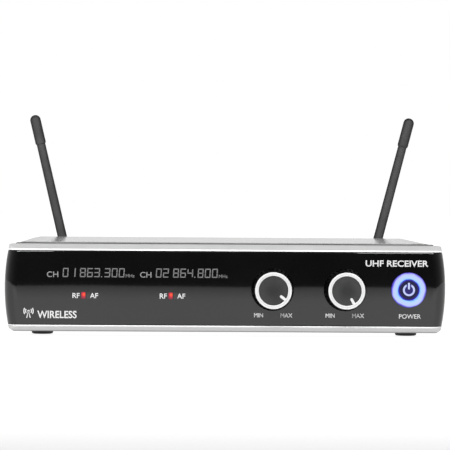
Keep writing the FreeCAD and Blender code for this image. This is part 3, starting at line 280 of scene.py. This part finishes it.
def silver_paint():
    """Painted sheet, with painted shade darkening the cover's top where it falls towards its shoulders."""
    made = Finish("silver_paint", 0.45, 0.485, (0.14, 0.18), mottle=25 * MM, grain=0.5 * MM,
                  relief=0.0003 * MM, Metallic=0.35)
    painted_shoulder_shade = 0.26
    across = math_node(made.tree, "ABSOLUTE", made.axis("X"), 0.0)
    outward = scaled(made.tree, across, 88 * MM, 98 * MM)
    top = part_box("top_cover")[1].z
    upper = scaled(made.tree, made.axis("Z"), top - 2.5 * MM, top - 1.5 * MM)
    # Painted shade: the top is darkened over its outer strips, towards the shoulders.
    made.blend_in(math_node(made.tree, "MULTIPLY", outward, upper), painted_shoulder_shade)
    return made


def knob_ring(channel):
    """Bright ring with a faint turned groove half way across it, darkened in colour by painted shade."""
    made = Finish("knob_ring_" + channel, 0.50, 0.55, (0.22, 0.34),
                  mottle=5 * MM, grain=0.2 * MM, relief=0.001 * MM)
    low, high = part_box(f"knob_{channel}_ring")
    outer = (high.x - low.x) / 2
    groove = ramp(made.tree, scaled(made.tree, radius_from(made.tree, KNOB[channel]), outer - 2 * MM, outer),
                  (0.36, 0), (0.5, 1), (0.64, 0))
    # Painted shade: the groove is darkened in colour as well as sunk.
    made.blend_in(math_node(made.tree, "MULTIPLY", groove, 0.8), 0.36)
    made.raise_by(groove, -0.02 * MM)
    return made


def knob_grey():
    """Dark moulding, with painted shade making the middle of the cap a little darker and the ribbed skirt
    round it black.
    """
    made = Finish("knob_grey", 0.010, 0.017, (0.32, 0.46), mottle=6 * MM, grain=0.16 * MM,
                  relief=0.003 * MM)
    low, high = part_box("knob_ch1_ring")
    rim = (high.x - low.x) / 2
    radius = radius_from_nearest(made.tree, list(KNOB.values()))
    # Painted shade: the middle of the cap is darkened.
    made.blend_in(scaled(made.tree, radius, 5.0 * MM, 1.5 * MM), 0.003)
    # Painted shade: the ribbed skirt is blackened, and its shine is dulled.
    skirt = scaled(made.tree, radius, rim - 0.3 * MM, rim)
    made.blend_in(skirt, 0.001)
    made.feed("Specular IOR Level", scaled(made.tree, skirt, 0.0, 1.0, 0.42, 0.02))
    return made


def antenna_rubber():
    """Soft sheath, matt, with painted shade darkening it as it turns away from the eye."""
    made = Finish("antenna_rubber", 0.040, 0.056, (0.5, 0.65), mottle=9 * MM, grain=0.25 * MM,
                  relief=0.008 * MM, Specular_IOR_Level=0.12)
    turned = add(made.tree, "LayerWeight", {"Blend": 0.5}).outputs["Facing"]
    # Painted shade: the sheath is darkened towards its outline.
    made.blend_in(scaled(made.tree, turned, 0.12, 0.62), 0.004)
    return made


def light_ring():
    """Frosted ring lit from behind: lavender white, bluer at both rims and cyan in places."""
    made = Finish("light_ring", 0.008, 0.012, (0.3, 0.4), mottle=3 * MM, grain=0.2 * MM)
    low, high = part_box("power_light_ring")
    outer = (high.x - low.x) / 2
    drift = scaled(made.tree, noise(made.tree, made.place, 4.5 * MM, 1.0), 0.3, 0.7, -0.05, 0.1)
    across = scaled(made.tree, radius_from(made.tree, POWER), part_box("power_button")[1].x - POWER.x, outer)
    shifted = math_node(made.tree, "ADD", across, drift)
    lit = ramp(made.tree, shifted, (0.0, (0.06, 0.08, 0.9)), (0.14, (0.24, 0.56, 0.96)),
               (0.34, (0.46, 0.64, 0.96)), (0.78, (0.48, 0.56, 0.96)), (0.90, (0.24, 0.22, 0.92)),
               (1.0, (0.04, 0.02, 0.5)))
    made.glow(lit, 1.0)
    return made


def button_dark():
    """Dark cap that the light behind it tints blue at its rim and close round the symbol."""
    made = Finish("button_dark", (0.002, 0.002, 0.004), (0.003, 0.003, 0.006), (0.15, 0.25), mottle=2 * MM,
                  grain=0.2 * MM, Specular_IOR_Level=0.3)
    low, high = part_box("power_button")
    outer = (high.x - low.x) / 2
    across = scaled(made.tree, radius_from(made.tree, POWER), 0.0, outer)
    lit = ramp(made.tree, across, (0.0, (0.02, 0.018, 0.14)), (0.30, (0.015, 0.014, 0.14)),
               (0.46, (0.03, 0.03, 0.34)), (0.60, (0.005, 0.005, 0.05)), (0.84, (0.006, 0.005, 0.045)),
               (0.94, (0.02, 0.008, 0.34)), (1.0, (0.02, 0.0, 0.6)))
    made.glow(lit, 1.0)
    return made


def symbol_white():
    """The button's symbol, lit from behind: white with a hint of blue."""
    made = Finish("symbol_white", 0.008, 0.012, (0.25, 0.35), mottle=1 * MM, grain=0.2 * MM)
    drift = noise(made.tree, made.place, 1.5 * MM)
    made.glow(ramp(made.tree, drift, (0.3, (0.45, 0.52, 0.92)), (0.7, (0.58, 0.66, 0.95))), 1.0)
    return made


def red_lens():
    """Red windows, each lit by a small lamp behind its upper right."""
    made = Finish("red_lens", (0.06, 0.004, 0.006), (0.08, 0.006, 0.008), (0.1, 0.2), mottle=1 * MM,
                  grain=0.2 * MM)
    lamps = [(x + LAMP_OFF[0], FRONT_Y, SIGNAL_Z + LAMP_OFF[1]) for x in SIGNAL.values()]
    away = scaled(made.tree, radius_from_nearest(made.tree, lamps), 0.0, 1.9 * MM)
    lit = ramp(made.tree, away, (0.0, (1.0, 0.15, 0.015)), (0.25, (1.0, 0.06, 0.015)),
               (0.45, (0.62, 0.02, 0.035)), (0.7, (0.30, 0.016, 0.05)), (1.0, (0.13, 0.012, 0.03)))
    made.glow(lit, 1.0)
    return made


def circuit_board():
    """Green solder mask over right-angled copper, with tinned pads showing through."""
    made = Finish("board_green", (0.012, 0.075, 0.03), (0.02, 0.11, 0.045), (0.25, 0.4), mottle=9 * MM,
                  grain=0.3 * MM, IOR=1.5)
    cells = add(made.tree, "TexVoronoi", {"Vector": made.place, "Scale": 1 / (3 * MM), "Randomness": 0.55},
                distance="MANHATTAN", feature="F1")
    track = ramp(made.tree, cells.outputs["Distance"], (0.30, 1), (0.34, 0), (0.44, 0), (0.48, 1))
    pad = ramp(made.tree, cells.outputs["Distance"], (0.10, 1), (0.14, 0))
    made.blend_in(math_node(made.tree, "MULTIPLY", track, 0.5), (0.03, 0.17, 0.06))
    made.blend_in(pad, (0.62, 0.60, 0.52))
    made.raise_by(track, 0.03 * MM)
    return made


def striped(made, axis, pitch, depth, colour, share):
    """Even ribs along one axis, with painted shade darkening the furrows between them."""
    wave = add(made.tree, "TexWave", {"Vector": made.place, "Scale": math.tau / (WAVE_TURN * pitch)},
               bands_direction=axis, wave_profile="SIN").outputs["Fac"]
    painted_furrow_shade = ramp(made.tree, wave, (0.0, 1), (0.35, 0))
    # Painted shade: the furrows are darkened.
    made.blend_in(math_node(made.tree, "MULTIPLY", painted_furrow_shade, share), colour)
    made.raise_by(wave, depth)
    return made


def capacitor_sleeve():
    """Shrink sleeve: blue-black, and grey on top, where the can shows."""
    made = Finish("capacitor_sleeve", (0.008, 0.012, 0.035), (0.012, 0.018, 0.05), (0.22, 0.34),
                  mottle=4 * MM, grain=0.4 * MM, relief=0.01 * MM)
    normal = add(made.tree, "NewGeometry").outputs["Normal"]
    upward = add(made.tree, "SeparateXYZ", {"Vector": normal}).outputs["Z"]
    made.blend_in(scaled(made.tree, upward, 0.75, 0.9), 0.5)
    return made


def finishes():
    """One finish for each of the record's material slots; knob_ring has one for each knob."""
    along_x, along_z = (0.06, 1, 1), (1, 1, 0.08)
    plain = [
        Finish("gasket", 0.045, 0.07, (0.8, 0.95), mottle=2 * MM, grain=0.25 * MM, relief=0.03 * MM),
        Finish("black_paint", 0.010, 0.017, (0.42, 0.62), mottle=10 * MM, grain=0.45 * MM, relief=0.03 * MM),
        Finish("foot_rubber", 0.002, 0.004, (0.6, 0.85), mottle=3 * MM, grain=0.2 * MM, relief=0.008 * MM),
        Finish("connector_black", 0.007, 0.013, (0.3, 0.48), mottle=5 * MM, grain=0.2 * MM,
               relief=0.004 * MM),
        Finish("ptfe", (0.66, 0.66, 0.64), (0.74, 0.74, 0.72), (0.4, 0.5), mottle=3 * MM, grain=0.3 * MM),
        Finish("smoked_lens", (0.0018, 0.001, 0.001), (0.003, 0.0015, 0.0015), (0.02, 0.04), mottle=1 * MM,
               grain=0.3 * MM, relief=0.0002 * MM, IOR=1.72),
        Finish("led_chip", (0.60, 0.56, 0.36), (0.70, 0.66, 0.44), (0.3, 0.4), mottle=1 * MM),
        Finish("lead_jacket", 0.010, 0.018, (0.35, 0.5), mottle=4 * MM, grain=0.3 * MM),
        Finish("chip_epoxy", 0.010, 0.018, (0.5, 0.7), mottle=2 * MM, grain=0.1 * MM, relief=0.006 * MM),
        Finish("antenna_plastic", 0.018, 0.028, (0.34, 0.5), mottle=6 * MM, grain=0.18 * MM,
               relief=0.005 * MM),
        antenna_rubber(),
        metal("zinc_steel", (0.50, 0.51, 0.52), (0.62, 0.62, 0.61), (0.26, 0.44), mottle=7 * MM,
              grain=0.5 * MM, stretch=along_x),
        metal("screw_black", 0.02, 0.035, (0.3, 0.45), mottle=2 * MM, grain=0.2 * MM),
        metal("screw_zinc", (0.50, 0.51, 0.54), (0.66, 0.65, 0.62), (0.18, 0.32), mottle=2 * MM),
        metal("connector_nickel", (0.58, 0.56, 0.52), (0.68, 0.66, 0.61), (0.14, 0.26), mottle=4 * MM),
        metal("contact_gold", (0.75, 0.53, 0.20), (0.84, 0.63, 0.28), (0.14, 0.25), mottle=2 * MM),
        metal("contact_silver", (0.66, 0.66, 0.64), (0.78, 0.77, 0.75), (0.12, 0.24), mottle=2 * MM),
        metal("pot_steel", (0.45, 0.45, 0.43), (0.56, 0.55, 0.53), (0.25, 0.4), mottle=5 * MM),
        metal("pot_shaft", (0.60, 0.60, 0.61), (0.70, 0.70, 0.70), (0.2, 0.35), grain=0.3 * MM,
              stretch=along_z),
        metal("tin_plate", (0.55, 0.55, 0.53), (0.66, 0.66, 0.63), (0.2, 0.34), mottle=8 * MM,
              grain=0.6 * MM, stretch=along_x),
        # The colours after the depths are the painted shade of the furrows.
        striped(metal("heat_sink_black", 0.018, 0.03, (0.35, 0.5), mottle=4 * MM), "Z", 0.5 * MM, 0.02 * MM,
                0.008, 0.6),
        striped(Finish("ribbon_grey", (0.26, 0.26, 0.28), (0.32, 0.32, 0.34), (0.4, 0.5), mottle=6 * MM), "X",
                1.27 * MM, 0.3 * MM, (0.12, 0.12, 0.13), 0.8),
        silver_plastic(), silver_paint(), black_gloss(), knob_grey(), light_ring(), button_dark(),
        symbol_white(), red_lens(), circuit_board(), capacitor_sleeve(),
    ]
    made = {finish.name: finish.material for finish in plain}
    for channel in KNOB:
        made["knob_ring_" + channel] = knob_ring(channel).material
    return made


def ink(name, dark, light):
    """Screen-printed ink, a little uneven in cover."""
    made = Finish(name, dark, light, (0.4, 0.55), mottle=1.5 * MM, grain=0.15 * MM, relief=0.002 * MM)
    return made.material


def dress_nodes():
    """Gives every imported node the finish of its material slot."""
    made = finishes()
    for subpart in frame["record"]["subparts"]:
        node, slot = subpart["node"], subpart["material_slot"]
        if slot == "knob_ring":
            slot += "_" + node.split("_")[1]
        mesh = frame["nodes"][node].data
        mesh.materials.clear()
        mesh.materials.append(made[slot])


# ---- printing ----
def words(text, height, width=None, bold=0.0):
    """A mesh of letters from its lower left corner, capitals `height` tall, drawn out or in to `width`."""
    curve = bpy.data.curves.new("words", "FONT")
    curve.body, curve.offset, curve.resolution_u, curve.extrude = text, bold, 4, 0.5
    holder = bpy.data.objects.new("words", curve)
    mesh = bpy.data.meshes.new_from_object(holder)
    bpy.data.objects.remove(holder)
    left = min(v.co.x for v in mesh.vertices)
    wide = max(v.co.x for v in mesh.vertices) - left
    rise = height / max(v.co.y for v in mesh.vertices)
    spread = width / wide if width else rise
    mesh.transform(Matrix.Diagonal((spread, rise, INK_T, 1)) @ Matrix.Translation((-left, 0, 0.5)))
    return mesh


def front_words(text):
    """One of the words on the fascia, at its own size."""
    return words(text, *LETTERING[text])


def slabs(outlines):
    """A mesh of flat pieces as thick as the ink, one for each outline of (across, up) corners."""
    work = bmesh.new()
    for outline in outlines:
        low, high = ([work.verts.new((u, v, w)) for u, v in outline] for w in (0, INK_T))
        work.faces.new(high)
        work.faces.new(low[::-1])
        for i in range(len(outline)):
            work.faces.new((low[i - 1], low[i], high[i], high[i - 1]))
    mesh = bpy.data.meshes.new("slabs")
    work.to_mesh(mesh)
    work.free()
    return mesh


def width_of(mesh):
    return max(v.co.x for v in mesh.vertices)


def centred(mesh, across, up):
    """A stamp with its middle at `across` and its baseline at `up`."""
    return mesh, across - width_of(mesh) / 2, up


FRONT_FACE = Matrix(((1, 0, 0, 0), (0, 0, -1, FRONT_Y + INK_SINK), (0, 1, 0, 0), (0, 0, 0, 1)))
REAR_FACE = Matrix(((-1, 0, 0, 0), (0, 0, 1, REAR_Y - INK_SINK), (0, 1, 0, 0), (0, 0, 0, 1)))


def printed(name, stamps, material, face=FRONT_FACE):
    """One piece of printing on the case, from (mesh, across, up) stamps."""
    work = bmesh.new()
    for mesh, across, up in stamps:
        mesh.transform(face @ Matrix.Translation((across, up, 0)))
        work.from_mesh(mesh)
        bpy.data.meshes.remove(mesh)
    bmesh.ops.recalc_face_normals(work, faces=work.faces)
    mesh = bpy.data.meshes.new(name)
    work.to_mesh(mesh)
    work.free()
    mesh.materials.append(material)
    piece = bpy.data.objects.new(name, mesh)
    bpy.context.scene.collection.objects.link(piece)
    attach(piece, "case")
    return piece


def bar(start, end, thick):
    """A level or upright segment of a digit, blunt-pointed so that it fills the corner it shares."""
    (x0, y0), (x1, y1) = start, end
    half, point = thick / 2, thick * DIGIT_POINT
    if y0 == y1:
        x0, x1 = x0 - half + DIGIT_GAP, x1 + half - DIGIT_GAP
        return [(x0, y0), (x0 + point, y0 - half), (x1 - point, y0 - half), (x1, y0), (x1 - point, y0 + half),
                (x0 + point, y0 + half)]
    y0, y1 = y0 + DIGIT_GAP, y1 - DIGIT_GAP
    return [(x0, y0), (x0 + half, y0 + point), (x0 + half, y1 - point), (x0, y1), (x0 - half, y1 - point),
            (x0 - half, y0 + point)]


def digit(character):
    """A seven-segment figure that leans to the right."""
    half = DIGIT_STROKE / 2
    left, right, low, high = half, DIGIT_W - half, half, DIGIT_H - half
    centre = DIGIT_H / 2
    ends = {
        "a": ((left, high), (right, high)), "g": ((left, centre), (right, centre)),
        "d": ((left, low), (right, low)), "f": ((left, centre), (left, high)),
        "b": ((right, centre), (right, high)), "e": ((left, low), (left, centre)),
        "c": ((right, low), (right, centre)), "i": ((right, 0.0), (right, DIGIT_H)),
    }
    mesh = slabs([bar(*ends[segment], DIGIT_STROKE) for segment in SEGMENTS[character]])
    mesh.transform(Matrix(((1, DIGIT_SLANT, 0, 0), (0, 1, 0, 0), (0, 0, 1, 0), (0, 0, 0, 1))))
    return mesh


def figure_row(figures, start):
    """Stamps of a row of figures, and where the next thing after them goes."""
    stamps = [(digit(figure), start + i * DIGIT_PITCH, READOUT_Z) for i, figure in enumerate(figures)]
    return stamps, start + len(figures) * DIGIT_PITCH


def readout(channel, label_ink, figure_ink):
    """Channel number and frequency of one receiver, as figures that show through the black."""
    number, whole, part = READOUTS[channel]
    start, dot = READOUT_X[channel], DIGIT_STROKE
    printed("channel_label_" + channel, [(front_words("CH"), start - CH_BEFORE, READOUT_Z)], label_ink)
    stamps, x = figure_row(number, start)
    whole_stamps, dot_x = figure_row(whole, x + BLOCK_GAP)
    dot_stamp = (slabs([[(0, 0), (dot, 0), (dot, dot), (0, dot)]]), dot_x, READOUT_Z)
    part_stamps, unit_x = figure_row(part, dot_x + DOT_ROOM)
    stamps += [*whole_stamps, dot_stamp, *part_stamps, (front_words("MHz"), unit_x, READOUT_Z)]
    printed("readout_" + channel, stamps, figure_ink)


def ring_part(centre, inner, outer, start, end, steps=10):
    """Outline of a piece of a ring between two angles in degrees."""
    angles = [math.radians(start + (end - start) * i / steps) for i in range(steps + 1)]
    (x, y), points = centre, []
    points += [(x + outer * math.cos(a), y + outer * math.sin(a)) for a in angles]
    points += [(x + inner * math.cos(a), y + inner * math.sin(a)) for a in reversed(angles)]
    return points


def mast_mark(height):
    """A plain mast on two legs, with two waves on each side of its head."""
    x = top = height * 0.72
    stroke = height * 0.11
    wave_half = 38
    outlines = [
        [(x - stroke * 2.2, 0), (x - stroke * 1.2, 0), (x + stroke * 0.2, top), (x - stroke * 0.3, top)],
        [(x + stroke * 1.2, 0), (x + stroke * 2.2, 0), (x + stroke * 0.3, top), (x - stroke * 0.2, top)],
        ring_part((x, top), 0, stroke * 1.1, 0, 359, 16),
    ]
    for inner in (height * 0.26, height * 0.44):
        for facing in (0, 180):
            wave = ring_part((x, top), inner, inner + stroke, facing - wave_half, facing + wave_half)
            outlines.append(wave)
    return slabs(outlines)


def front_printing(white, silver, grey):
    """Everything that is printed on the fascia."""
    for channel in READOUTS:
        readout(channel, silver, grey)
    printed("signal_labels", [
        centred(front_words(text), lens + offset, SIGNAL_Z - SIGNAL_LABEL_DROP)
        for lens in SIGNAL.values() for text, offset in SIGNAL_LABELS.items()
    ], white)
    printed("knob_labels", [
        centred(front_words(text), place.x + offset + KNOB_LABELS_OFF[channel], KNOB_LABEL_Z)
        for channel, place in KNOB.items() for text, offset in KNOB_LABELS.items()
    ], white)
    power_label = centred(front_words("POWER"), POWER.x + POWER_LABEL_OFF, POWER_LABEL_Z)
    printed("power_label", [power_label], white)
    printed("title", [centred(front_words("UHF RECEIVER"), TITLE_X, TITLE_Z)], white)
    printed("mast_mark", [
        (mast_mark(MARK_H), MARK_X, MARK_Z),
        (front_words("WIRELESS"), MARK_X + MARK_WORD_OFF, MARK_Z),
    ], white)


def rear_printing(white):
    """Plain names of the sockets, read from behind."""
    def label(text, x, z):
        return centred(words(text, REAR_LETTER, bold=REAR_BOLD), -x, z)

    left, right = middle("antenna_left_plug"), middle("antenna_right_plug")
    xlr = {channel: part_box(f"xlr_{channel}_shell") for channel in ("ch1", "ch2")}
    mix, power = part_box("mix_jack_body"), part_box("dc_jack_body")
    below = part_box("antenna_left_plug")[0].z - REAR_BELOW
    above = mix[1].z + REAR_ABOVE
    printed("rear_labels", [
        label("ANT A", left.x, below), label("ANT B", right.x, below),
        label("OUT 1", (xlr["ch1"][1].x + mix[0].x) / 2, below),
        label("OUT 2", (xlr["ch2"][0].x + power[1].x) / 2, below),
        label("MIX OUT", (mix[0].x + mix[1].x) / 2, above),
        label("DC IN", (power[0].x + power[1].x) / 2, above),
    ], white, REAR_FACE)


# ---- studio ----
def floor():
    """A plain pale floor that ends, out of view, in front of the receiver."""
    front = FRONT_Y - FLOOR_REACH
    corners = [(x, y, 0) for x, y in ((-FLOOR_HALF, front), (FLOOR_HALF, front),
                                      (FLOOR_HALF, FLOOR_BEHIND), (-FLOOR_HALF, FLOOR_BEHIND))]
    mesh = bpy.data.meshes.new("floor")
    mesh.from_pydata(corners, [], [(0, 1, 2, 3)])
    made = Finish("pale_floor", FLOOR_GREY - FLOOR_DRIFT, FLOOR_GREY + FLOOR_DRIFT, (0.7, 0.8), mottle=0.4,
                  grain=2 * MM, relief=0.01 * MM)
    depth = made.axis("Y")
    dimmed = scaled(made.tree, depth, front + FLOOR_FADE, front)
    made.blend_in(dimmed, FLOOR_GREY * FLOOR_DIM)
    under = scaled(made.tree, depth, FRONT_Y - UNDER_START, FRONT_Y - UNDER_FULL, 1.0, FLOOR_UNDER)
    in_front = scaled(made.tree, dimmed, 0.0, 1.0, 1.0, FLOOR_DIM)
    made.glow(math_node(made.tree, "MULTIPLY", under, in_front), FLOOR_GLOW)
    mesh.materials.append(made.material)
    piece = bpy.data.objects.new("floor", mesh)
    bpy.context.scene.collection.objects.link(piece)


def room():
    """White behind everything. What surfaces mirror is bright behind, grey above and dark in front."""
    world = bpy.data.worlds.new("room")
    bpy.context.scene.world = world
    world.use_nodes = True
    tree = world.node_tree
    tree.nodes.clear()
    toward = add(tree, "SeparateXYZ", {"Vector": add(tree, "TexCoord").outputs["Generated"]}).outputs
    level = ramp(tree, scaled(tree, toward["Y"], -1.0, 1.0), (0.0, 0.055), (0.05, 0.08), (0.3, 0.25),
                 (0.5, 0.5), (0.6, 0.7), (1.0, 0.88))
    overhead = scaled(tree, toward["Z"], 0.1, 0.5)
    surroundings = add(tree, "Background", {"Color": mixed(tree, overhead, level, 0.35), "Strength": 1.0})
    backdrop = add(tree, "Background", {"Color": rgba(1.0), "Strength": 1.0})
    seen = add(tree, "LightPath").outputs["Is Camera Ray"]
    shown = add(tree, "MixShader", {0: seen, 1: surroundings.outputs[0], 2: backdrop.outputs[0]})
    tree.links.new(shown.outputs[0], add(tree, "OutputWorld").inputs["Surface"])


def lights():
    """A broad sun and a softbox in front, neither of which shows in what is glossy."""
    key = bpy.data.lights.new("key", "SUN")
    key.energy, key.angle = KEY_STRENGTH, KEY_SPREAD
    lamp = bpy.data.objects.new("key", key)
    lamp.rotation_euler = (KEY_TILT, KEY_TURN, 0)
    lamp.visible_glossy = False
    bpy.context.scene.collection.objects.link(lamp)
    front = bpy.data.lights.new("front_softbox", "AREA")
    front.energy, front.size = FRONT_LIGHT_POWER, FRONT_LIGHT_SIZE
    lamp = bpy.data.objects.new("front_softbox", front)
    lamp.location = FRONT_LIGHT_PLACE
    lamp.rotation_euler = (Vector((0, FRONT_Y, 0)) - FRONT_LIGHT_PLACE).to_track_quat("-Z", "Y").to_euler()
    lamp.visible_camera = lamp.visible_glossy = False
    bpy.context.scene.collection.objects.link(lamp)


def side_strips():
    """Two strip lights, above and to either side, that only show as streaks in what is glossy."""
    for side in (-1, 1):
        strip = bpy.data.lights.new("side_strip", "AREA")
        strip.shape, strip.size, strip.size_y, strip.energy = "RECTANGLE", *STRIP_SIZE, STRIP_POWER
        lamp = bpy.data.objects.new("side_strip", strip)
        lamp.location = Vector((side * STRIP_PLACE.x, STRIP_PLACE.y, STRIP_PLACE.z))
        aim = Vector((lamp.location.x, FRONT_Y, 0)) - lamp.location
        lamp.rotation_euler = aim.to_track_quat("-Z", "Y").to_euler()
        lamp.visible_camera = lamp.visible_diffuse = False
        bpy.context.scene.collection.objects.link(lamp)


def camera():
    """A long lens a little left of the middle, looking slightly down."""
    lens = bpy.data.cameras.new("camera")
    lens.lens, lens.sensor_width = CAMERA_LENS, SENSOR
    made = bpy.data.objects.new("camera", lens)
    turn = Matrix.Rotation(-CAMERA_YAW, 4, "Z") @ Matrix.Rotation(math.pi / 2 - CAMERA_PITCH, 4, "X")
    place = Matrix.Translation((CAMERA_X, FRONT_Y - CAMERA_BACK, CAMERA_Z))
    made.matrix_world = place @ turn @ Matrix.Rotation(CAMERA_ROLL, 4, "Z")
    bpy.context.scene.collection.objects.link(made)
    bpy.context.scene.camera = made


camera()
dress_nodes()
WHITE = ink("print_white", 0.44, 0.50)
SILVER = ink("print_silver", 0.15, 0.18)
GREY = ink("print_grey", 0.085, 0.11)
front_printing(WHITE, SILVER, GREY)
rear_printing(WHITE)
floor()
room()
lights()
side_strips()
bpy.context.scene.view_settings.view_transform = "Standard"
